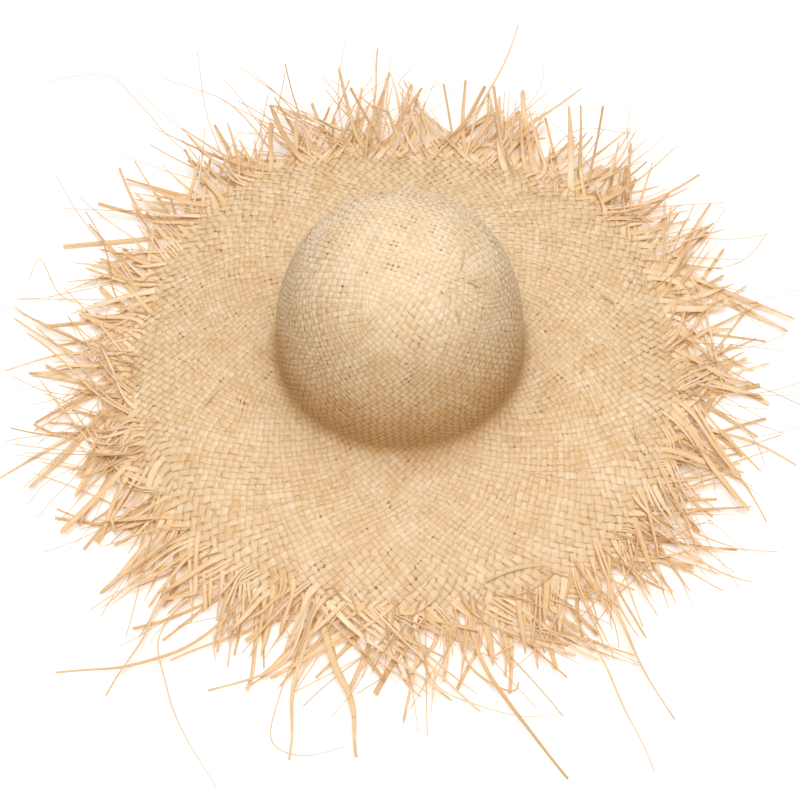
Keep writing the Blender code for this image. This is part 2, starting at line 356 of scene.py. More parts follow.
def strand_runs():
    """Every strand as one run: arcs, angles, over-or-under heights, widths and family."""
    levels, families = lay_wall()
    walls = [wall_runs(levels, family) for family in families]
    old = [np.flatnonzero(family["begins"] < 0) for family in families]
    runs = []
    strands = 2 * TIP_STRANDS
    for quarter in (0, 1):
        for row in range(-TIP_STRANDS // 2, TIP_STRANDS // 2):
            arc, angle, over = tip_part(row, quarter)
            tip = np.stack([arc, angle, over, np.full(len(arc), TIP_PITCH)], 1)
            turn = quarter * TIP_STRANDS // 2
            near = (row + turn) % strands
            far = (TIP_STRANDS - 1 - row + turn) % strands
            front, back = (0, 1) if row >= 0 else (1, 0)
            ahead, behind = walls[front][old[front][near]], walls[back][old[back][far]]
            run = join_runs(behind, tip, ahead)
            runs.append(dict(run=run, family=quarter, crosses_tip=True))
    for number, made in enumerate(walls):
        for column, run in made.items():
            if column not in old[number]:
                runs.append(dict(run=run, family=number, crosses_tip=False))
    return runs


def join_runs(behind, tip, ahead):
    """The strand's two slanting ends and its straight middle as one run, eased where they meet."""
    run = np.concatenate([behind[::-1], tip[1:-1], ahead])
    flat = run[:, :1] * np.stack([np.cos(run[:, 1]), np.sin(run[:, 1])], 1)
    near_tip = ramp((EASE_ARC - run[:, :1]) / EASE_FADE)
    flat = flat + (smoothed(flat, BEND_ROUNDS) - flat) * near_tip
    run[:, 0] = np.hypot(*flat.T)
    run[:, 1] = np.unwrap(np.arctan2(flat[:, 1], flat[:, 0]))
    run[:, 3] = smoothed(run[:, 3:4], WIDTH_ROUNDS)[:, 0]
    return run


# ---- ribbons ------------------------------------------------------------------------


def ribbon(centre, up, width, height, roll=0.0):
    """A strand's surface as rows of points across it, with its normals. height holds the rise of
    each point across the strand above its centre line."""
    along = unit(np.gradient(centre, axis=0))
    side = unit(np.cross(up, along))
    up = np.cross(along, side)
    roll = np.broadcast_to(roll, len(centre))[:, None]
    side, up = side * np.cos(roll) + up * np.sin(roll), up * np.cos(roll) - side * np.sin(roll)
    across = np.array(ACROSS)[None, :, None] * width[:, None, None] / 2
    points = centre[:, None] + side[:, None] * across + up[:, None] * height[:, :, None]
    normals = unit(np.cross(np.gradient(points, axis=1), np.gradient(points, axis=0)))
    return points, -normals


def strand_length(centre):
    steps = np.linalg.norm(np.diff(centre, axis=0), axis=1)
    return np.concatenate([[0], np.cumsum(steps)])


def side_shade_and_highlight(arc):
    """Painted shade and highlight: how much deeper the straw's colour is painted, most on the crown's
    side as shade, least on its top as a highlight.
    """
    side = ramp((arc - SIDE_TOP) / SIDE_FADE)
    side = side * (1 - ramp((arc - HEAD_LINE + SIDE_FOOT) / FOOT_FADE))
    return side - TOP_PALER * (1 - ramp((arc - TOP_EDGE) / SIDE_FADE))


def unsettled(arc, angle):
    """Arcs and angles with the weave's unevenness, and the even places that they come from."""
    base = on_hat(arc, angle)
    calm = ramp((RIM + RIM_CALM - arc) / RIM_CALM_ARC)
    arc = arc + SHOVE * drift(base, SHOVE_SCALE, 21) * calm
    radius = np.maximum(np.interp(arc, ARC, RADIUS), 0.004)
    around = SHOVE * drift(base, SHOVE_SCALE, 22) / radius
    return arc, angle + around * (arc > TIP_CALM), base


def woven_strands(runs):
    """The woven part of every strand, with what its material needs to know."""
    strands = []
    chance = np.random.default_rng(5)
    for run in runs:
        arc, angle, over, width = run["run"].T
        arc, angle, base = unsettled(arc, angle)
        centre, up = on_hat(arc, angle), outward(arc, angle)
        centre = centre + up * (SWELL * drift(base, SWELL_SCALE, 23))[:, None]
        fill = FILL + chance.uniform(*FILL_CHANCE)
        fill = fill + FILL_DRIFT * drift(centre, FILL_DRIFT_SCALE, chance.integers(1 << 30))
        fill = fill - RIM_SLACK * ramp((arc - RIM + RIM_SLACK_START) / RIM_SLACK_ARC)
        rise = RELIEF * over[:, None] * (1 - EDGE_DROP * np.array(ACROSS) ** 2)
        points, normals = ribbon(centre, up, width * fill, rise)
        strands.append(
            dict(
                points=points,
                normals=normals,
                length=strand_length(centre),
                arc=run["run"][:, 0],
                angle=angle,
                tone=chance.uniform(),
                seed=chance.uniform(),
                family=run["family"],
                crosses_tip=run["crosses_tip"],
                over=over,
                depth=side_shade_and_highlight(arc),
            )
        )
    return strands


def cut(strand, rows):
    """Part of a strand, from one row of points to another. Turned round, it keeps its top side."""
    part = dict(strand)
    for name in ("points", "normals", "length", "arc", "angle", "over", "depth"):
        part[name] = strand[name][rows]
    if rows.step == -1:
        part["points"] = part["points"][:, ::-1]
        part["normals"] = part["normals"][:, ::-1]
    return part


def split_at_head_line(strands):
    """The crown's and the brim's parts of the strands. The brim's all run outwards."""
    crown, brim = [], []
    for strand in strands:
        inside = np.flatnonzero(strand["arc"] <= HEAD_LINE + 1e-7)
        if len(inside) > 1:
            crown.append(cut(strand, slice(inside[0], inside[-1] + 1)))
            if inside[0] > 1:
                brim.append(cut(strand, slice(inside[0], None, -1)))
        first = inside[-1] if len(inside) else 0
        if len(strand["arc"]) - first > 2:
            brim.append(cut(strand, slice(first, None)))
    return crown, brim


def strands_mesh(name, strands):
    """One mesh of many ribbons, each with its own strip of the bake's map."""
    across = len(ACROSS)
    sizes = np.array([len(s["points"]) for s in strands])
    starts = np.concatenate([[0], np.cumsum(sizes * across)])
    points = np.concatenate([s["points"].reshape(-1, 3) for s in strands])
    normals = np.concatenate([s["normals"].reshape(-1, 3) for s in strands])
    longest = max(s["length"][-1] - s["length"][0] for s in strands)
    quads, flat = [], []
    for number, strand in enumerate(strands):
        rows = sizes[number]
        corner = np.arange(rows - 1)[:, None] * across + np.arange(across - 1) + starts[number]
        quad = np.stack([corner, corner + across, corner + across + 1, corner + 1], -1)
        quads.append(quad.reshape(-1, 4))
        run = (strand["length"] - strand["length"][0]) / longest
        side = STRIP_EDGE + (1 - 2 * STRIP_EDGE) * (np.array(ACROSS) + 1) / 2
        strip = np.broadcast_arrays(abs(run)[:, None], (number + side)[None, :] / len(strands))
        flat.append(np.stack(strip, -1).reshape(-1, 2))
    mesh = quads_mesh(name, points, np.concatenate(quads), np.concatenate(flat))
    for label in ("tone", "seed"):
        values = np.concatenate([np.full(n * across, s[label]) for n, s in zip(sizes, strands)])
        write_values(mesh, "strand_" + label, values)
    lengths = [np.repeat(s["length"], across) for s in strands]
    write_values(mesh, "strand_along", np.concatenate(lengths))
    write_values(mesh, "strand_across", np.tile(ACROSS, sizes.sum()))
    for label in ("depth", "over"):
        values = np.concatenate([np.repeat(s[label], across) for s in strands])
        write_values(mesh, "strand_" + label, values)
    mesh.normals_split_custom_set_from_vertices(normals.astype(np.float32))
    return mesh


def quads_mesh(name, points, quads, flat):
    """A smooth mesh of four-sided faces, with the bake's map given for each point."""
    mesh = bpy.data.meshes.new(name)
    mesh.vertices.add(len(points))
    mesh.vertices.foreach_set("co", points.astype(np.float32).ravel())
    mesh.loops.add(quads.size)
    mesh.loops.foreach_set("vertex_index", quads.astype(np.int32).ravel())
    mesh.polygons.add(len(quads))
    mesh.polygons.foreach_set("loop_start", np.arange(0, quads.size, 4, dtype=np.int32))
    mesh.update(calc_edges=True)
    mesh.shade_smooth()
    strip = mesh.uv_layers.new(name="OFBake")
    strip.uv.foreach_set("vector", flat[quads.ravel()].astype(np.float32).ravel())
    return mesh


def write_values(mesh, label, values):
    """Gives each point of a mesh its own number under this name."""
    layer = mesh.attributes.new(label, "FLOAT", "POINT")
    layer.data.foreach_set("value", values.astype(np.float32))


def add_piece(name, mesh, finish, slot, *stands_for):
    """Puts a mesh in the scene as a piece of the hat."""
    piece = bpy.data.objects.new(name, mesh)
    bpy.context.scene.collection.objects.link(piece)
    piece.data.materials.append(finish)
    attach(piece, "root")
    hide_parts(*stands_for)
    return piece


# ---- the fringe ---------------------------------------------------------------------

LOCKS = sorted(n for n in frame["nodes"] if n.startswith("fringe_lock"))
FRINGE_PIECES = 16
FRINGE_STEP = 0.0032  # between cross-sections of a loose end
REACH = (  # degrees round the hat, how far the fringe reaches past the weave
    (-180, 0.074),
    (-135, 0.062),
    (-90, 0.066),
    (-45, 0.064),
    (0, 0.072),
    (45, 0.072),
    (90, 0.082),
    (135, 0.074),
    (180, 0.074),
)
ROOM = (0.333, 0.350)  # how far from the crown's axis an end may reach, sideways and lengthways
LIFT, BACK_LIFT = 0.0025, 0.016  # how far ends stand up, and how much further at the back
BACK_START = 0.12  # behind the crown's axis, where they begin to stand up further
UNDER_ENDS = 170
HAIRS = 180
FLAT_HEIGHT = 0.0006  # least height of a free end's middle over the table
WAVE_ARC, KINK, KINK_ODDS = (0.015, 0.04), 30, 0.15  # along a free end; degrees; chance of one
FALL_ARC = (0.035, 0.065)  # over which a free end comes down to where it lands
TIP_ARC = 0.012  # over which a free end's tip is browner
RIM_TRIM, RIM_TRIM_CHANCE = 0.006, 0.004  # unevenness of the last woven row
CLUMP_SIZE = (3, 10)  # how many ends lie side by side: from, and below
CLUMP_SLANT = (0.45, 1.35)  # share of its slant that a clump keeps beyond the weave
CLUMP_LEAN, CLUMP_TURN = 12, 6  # degrees by which it leans with its neighbours, and on its own
CLUMP_GATHER = (0.15, 0.8)  # how much it draws together towards its tips
CLUMP_REACH = (0.66, 1.15)  # share of the usual reach
STEEPEST = 0.58  # cosine of the slant beyond which an end gets no longer
END_LENGTH = (0.55, 1.15)  # of single ends in a clump
PART_ODDS = (0.66, 0.25, 0.09)  # that an end is whole, split in two or split in three
PART_SPREAD, PART_LENGTH, PART_WIDTH = (0, 16), (0.8, 1.08), (0.88, 1.04)
STRAY, STRAY_ODDS = 36, 0.22  # degrees by which an end leaves its clump, and how often
LAND = (0.0008, 0.0045)  # height at which an end lands, and how far the two layers lie apart
LAYER = 0.0015
FOLD = (0.05, 0.55)  # how far an end closes along its middle
TAPER, TIP_WIDTH = (0.0, 0.75), (0.15, 0.8)
CURL_POWER = 1.4  # how the curl of a free ribbon grows towards its edges
UNDER_SLANT, UNDER_WIDTH, UNDER_DROP = (12, 58), (0.0018, 0.0042), 0.0022
HAIR_REACH, HAIR_WIDTH, HAIR_SWAY = (0.7, 1.8), (0.0007, 0.0013), 16.0
UNDER_SHADE_TONES, HAIR_TONES = (0.7, 1.6), (0.9, 2.0)  # 0 is the palest straw, over 1 is brown; the under ends' brown is painted shade
LONG_TONES, STRAY_TONES = (0.3, 1.2), (0.3, 0.9)
LONG_ENDS = (  # in millimetres: width, heights, and the places that each passes
    (2.6, 6, ((-174, -205), (-184, -237), (-206, -280))),
    (2.4, 6, ((-127, -225), (-155, -246), (-196, -259), (-242, -262))),
    (1.0, 6, ((-177, -237), (-159, -289), (-125, -346))),
    (2.0, 6, ((-80, -258), (-108, -269), (-135, -276))),
    (5.0, 6, ((-64, -207), (-48, -248), (-33, -286), (-29, -325))),
    (3.0, 6, ((-70, -244), (-75, -282), (-76, -327))),
    (0.9, 6, ((-94, -318), (-67, -327), (-37, -317))),
    (3.0, 6, ((59, -258), (78, -291), (96, -315), (115, -341))),
    (2.6, 6, ((157, -215), (167, -248), (180, -278), (190, -297))),
    (1.6, 6, ((142, -248), (153, -282), (166, -311), (172, -334))),
    (1.8, 6, ((48, -261), (70, -276), (87, -281), (84, -269))),
    (2.4, 6, ((232, -55), (269, -69), (302, -92))),
    (1.2, 6, ((227, -34), (275, -24), (311, -28))),
    (2.0, 6, ((242, -78), (261, -106), (273, -140))),
    (1.0, 6, ((245, 61), (286, 64), (327, 75))),
    (1.6, (6, 6, 36, 54), ((219, 209), (238, 232), (257, 221), (278, 208))),
    (2.2, (14, 36, 54), ((69, 268), (89, 297), (104, 332))),
    (1.6, (14, 36, 54), ((-89, 261), (-94, 273), (-98, 285))),
    (0.8, (14, 14, 36, 54), ((-210, 249), (-255, 312), (-289, 288), (-325, 252))),
    (0.7, (14, 36, 54), ((-183, 240), (-226, 267), (-254, 310))),
    (1.6, (14, 36, 54), ((-126, 249), (-151, 261), (-202, 267))),
    (2.4, 6, ((-223, 16), (-271, 14), (-312, -5))),
    (2.0, 6, ((-222, -76), (-261, -65), (-301, -58))),
    (1.0, 6, ((-224, -96), (-253, -139), (-287, -185))),
    (2.2, 6, ((-217, 36), (-258, 44), (-294, 40))),
    (0.9, 6, ((-277, 66), (-300, 118), (-304, 87))),
    (1.8, 6, ((220, -173), (237, -185), (256, -191))),
    (0.8, 6, ((21, -275), (83, -297), (128, -291))),
    (1.8, 6, ((176, -173), (221, -163), (278, -165))),
    (0.9, (14, 36, 54), ((129, 270), (129, 310), (136, 344))),
)

STRAY_STEP, STRAY_BOW, STRAY_LIFT = 0.0015, 0.03, 0.0018
CROWN_STRAYS = (  # width, then arc from the tip and degrees round the hat, at both ends
    (0.0026, (0.053, -30), (0.066, -28)),
    (0.0022, (0.066, -50), (0.075, -53)),
    (0.0020, (0.047, 2), (0.049, -26)),
    (0.0022, (0.088, 166), (0.081, 152)),
    (0.0024, (0.150, -122), (0.158, -113)),
    (0.0020, (0.128, -32), (0.140, -27)),
    (0.0024, (0.118, 88), (0.130, 96)),
)
BRIM_STRAYS = (
    (0.0026, (0.2325, -168.4), (0.2520, -162)),
    (0.0034, (0.3029, -58), (0.3018, -72)),
    (0.0022, (0.219, -116), (0.229, -112)),
    (0.0026, (0.262, 22), (0.271, 17)),
    (0.0024, (0.240, 74), (0.247, 81)),
    (0.0022, (0.283, -19), (0.290, -24)),
    (0.0026, (0.252, 131), (0.264, 127)),
    (0.0024, (0.292, 176), (0.297, 170)),
    (0.0020, (0.232, -41), (0.238, -34)),
)


def trim_to_rim(brim):
    """Ends each brim strand where it leaves the weave, unevenly."""
    trimmed = []
    chance = np.random.default_rng(3)
    for strand in brim:
        edge = RIM_TRIM * drift(strand["points"][-1:, 2], 0.04, 30)[0]
        leave = RIM - 0.001 + edge + chance.uniform(-RIM_TRIM_CHANCE, RIM_TRIM_CHANCE)
        rows = np.flatnonzero(strand["arc"] <= leave)
        if len(rows) > 8:
            trimmed.append(cut(strand, slice(0, rows[-1] + 1)))
    return trimmed


def wrapped(angle):
    """The same angle between minus and plus half a turn."""
    return (angle + math.pi) % (2 * math.pi) - math.pi


def fringe_roots(brim):
    """Where each strand leaves the weave, and how, in order round the hat for each direction."""
    roots = {-1: [], 1: []}
    for strand in brim:
        points = strand["points"]
        start = points[-1, 2]
        way = unit(start - points[-4, 2])
        side = points[-1, -1] - points[-1, 0]
        out, heading = math.atan2(start[1], start[0]), math.atan2(way[1], way[0])
        slant = wrapped(heading - out)
        roots[1 if slant > 0 else -1].append(
            dict(
                start=start,
                out=out,
                heading=heading,
                slant=slant,
                side=unit(side),
                width=np.linalg.norm(side),
                tone=strand["tone"],
                seed=strand["seed"],
                length=strand["length"][-1],
            )
        )
    for side in roots:
        roots[side].sort(key=lambda root: root["out"])
    return roots


def root_at(arc, out, drop=0.0):
    """A place on the weave at an angle round the hat, or a little under it."""
    return on_hat(np.array(arc), np.array(out)) - [0, 0, drop]


def usual_reach(out):
    """How far the fringe reaches past the weave on this side of the hat."""
    return np.interp(math.degrees(out), *zip(*REACH))


def tilt(chance, spread):
    """A chance angle, with its spread in degrees."""
    return math.radians(chance.normal(0, spread))


def free_run(start, heading, turn, length, land, chance, sway=3.5):
    """The path of one free end: it leaves on its heading, turns, sways, may have a kink, and
    falls to the table or onto other ends."""
    count = max(8, int(length / FRINGE_STEP))
    share = np.linspace(0, 1, count)
    waves = share * length / chance.uniform(*WAVE_ARC) + chance.uniform(0, 6)
    wave = tilt(chance, sway) * np.sin(waves)
    kink = tilt(chance, KINK) * (chance.uniform() < KINK_ODDS)
    bend = kink * ramp((share - chance.uniform(0.35, 0.85)) / 0.05)
    course = heading + turn * ramp(share / 0.45) + wave - wave[0] + bend
    step = length / (count - 1)
    x = start[0] + np.concatenate([[0], np.cumsum(np.cos(course[1:]) * step)])
    y = start[1] + np.concatenate([[0], np.cumsum(np.sin(course[1:]) * step)])
    fall = ramp(share * length / chance.uniform(*FALL_ARC))
    back = ramp((y - BACK_START) / BACK_START)
    lift = abs(chance.normal(0, 1)) * (LIFT + BACK_LIFT * back) * share**1.5
    z = start[2] + (land - start[2]) * fall + lift
    path = np.stack([x, y, np.maximum(z, FLAT_HEIGHT)], 1)
    beyond = np.flatnonzero((np.abs(x) > ROOM[0]) | (np.abs(y) > ROOM[1]))
    return path[: beyond[0]] if len(beyond) else path


def loose_ribbon(path, width, cup, twist, tone, seed, begin, out, ups=(0.0, 0.0, 1.0)):
    """One free ribbon, curled across its width by cup and rolled by twist. Its tip is browner."""
    height = -(cup * width)[:, None] * np.abs(np.array(ACROSS)) ** CURL_POWER
    points, normals = ribbon(path, np.broadcast_to(ups, path.shape), width, height, twist)
    points[..., 2] = np.maximum(points[..., 2], 0.0002)
    run = strand_length(path)
    browner = 0.6 * (seed % 0.1) * 10
    return dict(
        points=points,
        normals=normals,
        length=run + begin,
        tone=tone,
        seed=seed,
        root=out,
        depth=0.1 + browner * ramp((run - run[-1]) / TIP_ARC + 1),
        over=np.ones(len(path)),
    )


def single_end(path, width, cup, twist, tones, chance, out, ups=(0.0, 0.0, 1.0)):
    """A free ribbon of its own, which doesn't run on from a woven strand."""
    tone, seed = chance.uniform(*tones), chance.uniform()
    return loose_ribbon(path, width, cup, twist, tone, seed, 0.0, out, ups)


def clump_ends(clump, lie, chance):
    """Neighbouring ends that lie side by side, and may draw together towards their tips."""
    middle = clump[len(clump) // 2]
    keep = chance.uniform(*CLUMP_SLANT)
    lean = math.radians(CLUMP_LEAN) * drift(middle["start"][None], 0.07, 31)[0]
    final = middle["slant"] * keep + lean + tilt(chance, CLUMP_TURN)
    towards = middle["out"] + final
    across = np.array([-math.sin(towards), math.cos(towards), 0.0])
    gather = chance.uniform(*CLUMP_GATHER)
    reach = usual_reach(middle["out"]) * chance.uniform(*CLUMP_REACH)
    usual = reach / max(math.cos(final), STEEPEST)
    ends = []
    for root in clump:
        length = usual * chance.uniform(*END_LENGTH)
        pull = across * ((root["start"] - middle["start"]) @ across) * gather
        land = chance.uniform(*LAND) + lie
        parts = chance.choice([1, 2, 3], p=PART_ODDS)
        stray = tilt(chance, STRAY) * (chance.uniform() < STRAY_ODDS)
        split = chance.uniform(0.1, 0.5)
        for part in range(parts):
            place = (part + 0.5) / parts - 0.5
            spread = place * math.radians(chance.uniform(*PART_SPREAD))
            own = length * chance.uniform(*PART_LENGTH)
            turn = wrapped(towards - root["heading"]) + spread + stray
            path = free_run(root["start"], root["heading"], turn, own, land, chance)
            share = np.linspace(0, 1, len(path))
            apart = place * (1 + 0.5 * ramp((share[:, None] - split) / 0.5))
            path = path - pull * ramp(share[:, None]) + root["side"] * root["width"] * apart
            fold, closing = chance.uniform(*FOLD), ramp(share * 3)
            taper = 1 - chance.uniform(*TAPER) * ramp((share - 0.6) / 0.4)
            taper[-1] *= chance.uniform(*TIP_WIDTH)
            width = root["width"] / parts * chance.uniform(*PART_WIDTH)
            width = width * (1 - fold * closing) * taper
            cup = 0.05 + 0.55 * fold * closing * chance.choice([-1, 1, 1])
            twist = tilt(chance, 18) * ramp((share - 0.15) / 0.4)
            seed = root["seed"] + 0.01 * part
            end = (path, width, cup, twist, root["tone"], seed, root["length"], root["out"])
            ends.append(loose_ribbon(*end))
    return ends


def fringe_strands(brim, seed):
    """The strands' own ends beyond the weave. They keep their slant, in two crossing layers."""
    chance = np.random.default_rng(seed)
    ends = []
    for side, roots in fringe_roots(brim).items():
        place = 0
        while place < len(roots):
            clump = roots[place : place + chance.integers(*CLUMP_SIZE)]
            place += len(clump)
            upper = side * math.copysign(1, drift(clump[0]["start"][None], 0.09, 33)[0])
            ends += clump_ends(clump, LAYER + LAYER * upper, chance)
    return ends


def under_strands(seed):
    """Ends that come out from under the weave's edge and close the fringe, painted browner as shade."""
    chance = np.random.default_rng(seed)
    ends = []
    for number in range(UNDER_ENDS):
        out = wrapped(2 * math.pi * (number + chance.uniform()) / UNDER_ENDS)
        start = root_at(RIM - chance.uniform(0.006, 0.014), out, UNDER_DROP)
        slant = math.radians(chance.uniform(*UNDER_SLANT)) * chance.choice([-1, 1])
        length = 0.012 + usual_reach(out) * chance.uniform(0.5, 1.0) / math.cos(slant)
        turn = -slant * chance.uniform(-0.1, 0.4)
        path = free_run(start, out + slant, turn, length, chance.uniform(0.0006, 0.002), chance)
        share = np.linspace(0, 1, len(path))
        width = chance.uniform(*UNDER_WIDTH)
        width = width * (1 - chance.uniform(0, 0.8) * ramp((share - 0.5) / 0.5))
        twist = tilt(chance, 20) * ramp((share - 0.3) / 0.4)
        ends.append(single_end(path, width, 0.1, twist, UNDER_SHADE_TONES, chance, out))
    return ends


def long_ends(seed):
    """The longest single ends, which lie out beyond the rest or stand up at the back."""
    chance = np.random.default_rng(seed)
    ends = []
    for width, heights, places in LONG_ENDS:
        heights = np.broadcast_to(heights, len(places))
        places = np.column_stack([places, heights]) / 1000
        out = math.atan2(places[0, 1], places[0, 0])
        start = root_at(RIM - 0.006, out, 0.0015)
        if np.hypot(*places[0, :2]) > np.hypot(*start[:2]) + 0.006:
            places = np.concatenate([start[None], places])
        steps = strand_length(places)
        run = np.linspace(0, steps[-1], max(10, int(steps[-1] / FRINGE_STEP)))
        path = np.stack([np.interp(run, steps, places[:, axis]) for axis in range(3)], 1)
        path = smoothed(path, 26)
        sway = 0.0012 * np.sin(run / chance.uniform(0.008, 0.02) + chance.uniform(0, 6))
        sway = sway * ramp(run / 0.03)
        path = path + sway[:, None] * np.array([math.sin(out), math.cos(out), 0.3])
        share = run / run[-1]
        wide = width / 1000 * (1 - chance.uniform(0.2, 0.6) * ramp((share - 0.5) / 0.5))
        twist = tilt(chance, 30) * ramp((share - 0.2) / 0.5)
        ends.append(single_end(path, wide, 0.08, twist, LONG_TONES, chance, out))
    return ends


def stray_ends(table, seed):
    """Short ends that have worked loose from the weave and lie on the hat."""
    chance = np.random.default_rng(seed)
    ends = []
    for width, first, last in table:
        places = np.array([(arc, math.radians(turn)) for arc, turn in (first, last)])
        flat = places[:, :1] * np.stack([np.cos(places[:, 1]), np.sin(places[:, 1])], 1)
        share = np.linspace(0, 1, max(8, int(math.dist(*flat) / STRAY_STEP)))
        bow = STRAY_BOW * chance.normal() * np.sin(math.pi * share)
        way = flat[1] - flat[0]
        line = flat[0] + share[:, None] * way + bow[:, None] * [-way[1], way[0]]
        arc, angle = np.hypot(*line.T), np.arctan2(line[:, 1], line[:, 0])
        up = outward(arc, angle)
        lift = STRAY_LIFT * ramp(share / 0.5) * chance.uniform(0.6, 1.3)
        lift = lift - 0.0006 * (1 - ramp(share / 0.2))
        path = on_hat(arc, angle) + up * lift[:, None]
        wide = width * (0.9 - 0.35 * ramp((share - 0.5) / 0.5))
        twist = tilt(chance, 16) * share
        ends.append(single_end(path, wide, 0.12, twist, STRAY_TONES, chance, 0.0, up))
    return ends


def hairs(seed):
    """Thin fibres that stray from the fringe."""
    chance = np.random.default_rng(seed)
    ends = []
    for _ in range(HAIRS):
        out = chance.uniform(-math.pi, math.pi)
        start = root_at(RIM - chance.uniform(0, 0.01), out)
        heading = out + tilt(chance, 36)
        length = usual_reach(out) * chance.uniform(*HAIR_REACH)
        turn = tilt(chance, 50)
        land = chance.uniform(0.001, 0.010)
        path = free_run(start, heading, turn, length, land, chance, HAIR_SWAY)
        width = chance.uniform(*HAIR_WIDTH) * (1 - 0.4 * np.linspace(0, 1, len(path)))
        ends.append(single_end(path, width, 0.2, 0.0, HAIR_TONES, chance, out))
    return ends


# ---- the sweatband ------------------------------------------------------------------

RIBS = 364  # round the ribbon
RIB_DEPTH = 0.00011
RIB_STEPS = 4  # cross-sections to a rib
SELVEDGE = 0.0011  # plain edge of the ribbon
SLACK = 0.00012  # unevenness of the band round the hat
TAB_INSET = 0.001  # how much narrower the tab is than the ribbon, at each edge
TAB_ENDS = ((0, 0.35), (1, 0.8), (-2, 0.8), (-1, 0.35))  # row, share of the full thickness
STITCH_START, STITCH_SHARE = 0.18, 0.62  # where a stitch begins in its spacing, and its length
STITCH_GAP = 0.03  # angle between the tab and the nearest stitch
STITCH_SAG = 0.00015
THREAD_SIDES, THREAD_TWISTS, PLY_DEPTH = 10, 9, 0.16


def band_radius(rise, layers):
    """Radius of the middle of a ribbon that lies this many layers inside the crown's wall."""
    wall = crown_radius(rise) - WEAVE / 2 / math.cos(crown_lean(rise))
    return wall - (GAP + RIBBON / 2) - (layers - 1) * (GAP + RIBBON)


def ribbon_outline(low, high):
    """Across the ribbon once round, as (outward offset, rise, how far the ribs show)."""
    half = RIBBON / 2
    ribbed_rises = np.linspace(low + SELVEDGE, high - SELVEDGE, 7)
    rises = np.concatenate([[low + half], ribbed_rises, [high - half]])
    ribbed = np.array([0.0] + [1.0] * len(ribbed_rises) + [0.0])
    inner = np.stack([np.full(len(rises), -half), rises, ribbed], 1)
    outer = np.stack([np.full(len(rises), half), rises, ribbed], 1)[::-1]
    top, foot = np.array([[0.0, high, 0.0]]), np.array([[0.0, low, 0.0]])
    return np.concatenate([inner, top, outer, foot])


def ribbed_band(angles, low, high, layers, closed):
    """Rows of points round the ribbon's outline, one row for each angle."""
    outline = ribbon_outline(low, high)
    phase = RIBS * angles[:, None]
    ribs = RIB_DEPTH * (np.cos(phase) - 1) * outline[None, :, 2] * np.sign(outline[None, :, 0])
    radius = np.array([band_radius(rise, layers) for rise in outline[:, 1]])
    slack = SLACK * np.sin(7 * angles + 1) * closed
    radius = radius[None] + outline[None, :, 0] + ribs + slack[:, None]
    height = np.broadcast_to(FOOT_HEIGHT + outline[:, 1], radius.shape)
    x, y = radius * np.cos(angles)[:, None], radius * np.sin(angles)[:, None]
    return np.stack([x, y, height], -1)


def rows_mesh(name, grids, ring=False):
    """A mesh of closed tubes, each given as rows of points round it. A ring's last row meets its
    first; other tubes are capped."""
    points, faces, flat = [], [], []
    base = 0
    for number, grid in enumerate(grids):
        rows, cols = grid.shape[:2]
        points.append(grid.reshape(-1, 3))
        last = rows if ring else rows - 1
        for row, col in np.ndindex(last, cols):
            ahead, beside = (row + 1) % rows, (col + 1) % cols
            corners = ((row, col), (ahead, col), (ahead, beside), (row, beside))
            faces.append([base + r * cols + c for r, c in corners])
            low, high = (number + (col + k) / cols * 0.9 + 0.05 for k in (0, 1))
            near, far = row / last, (row + 1) / last
            flat += [(near, low), (far, low), (far, high), (near, high)]
        if not ring:
            for end, order in ((0, 1), (rows - 1, -1)):
                faces.append([base + end * cols + col for col in range(cols)][::order])
                flat += [(end / last, number + 0.5 + 0.3 * col / cols) for col in range(cols)]
        base += rows * cols
    mesh = bpy.data.meshes.new(name)
    mesh.from_pydata(np.concatenate(points).tolist(), [], faces)
    strip = mesh.uv_layers.new(name="OFBake")
    flat = np.array(flat) / [1, len(grids)]
    strip.uv.foreach_set("vector", flat.astype(np.float32).ravel())
    mesh.shade_smooth()
    return mesh


def sweatband_mesh():
    """The ribbed ribbon as a full ring."""
    steps = RIBS * RIB_STEPS
    angles = np.linspace(0, 2 * math.pi, steps, endpoint=False)
    band = ribbed_band(angles, BAND_FOOT, BAND_FOOT + BAND_HEIGHT, 1, True)
    return rows_mesh("sweatband", [band], ring=True)


def join_tab_mesh():
    """The short piece of ribbon over the band's two ends, thinner at its own ends."""
    half = JOIN_WIDTH / 2 / CROWN_RADIUS
    angles = np.linspace(math.pi / 2 - half, math.pi / 2 + half, 81)
    low, high = BAND_FOOT + TAB_INSET, BAND_FOOT + BAND_HEIGHT - TAB_INSET
    tab = ribbed_band(angles, low, high, 2, False)
    centre = tab.mean(1, keepdims=True)
    for row, thin in TAB_ENDS:
        tab[row, :, :2] = centre[row, :, :2] + (tab[row, :, :2] - centre[row, :, :2]) * thin
    return rows_mesh("sweatband join tab", [tab])


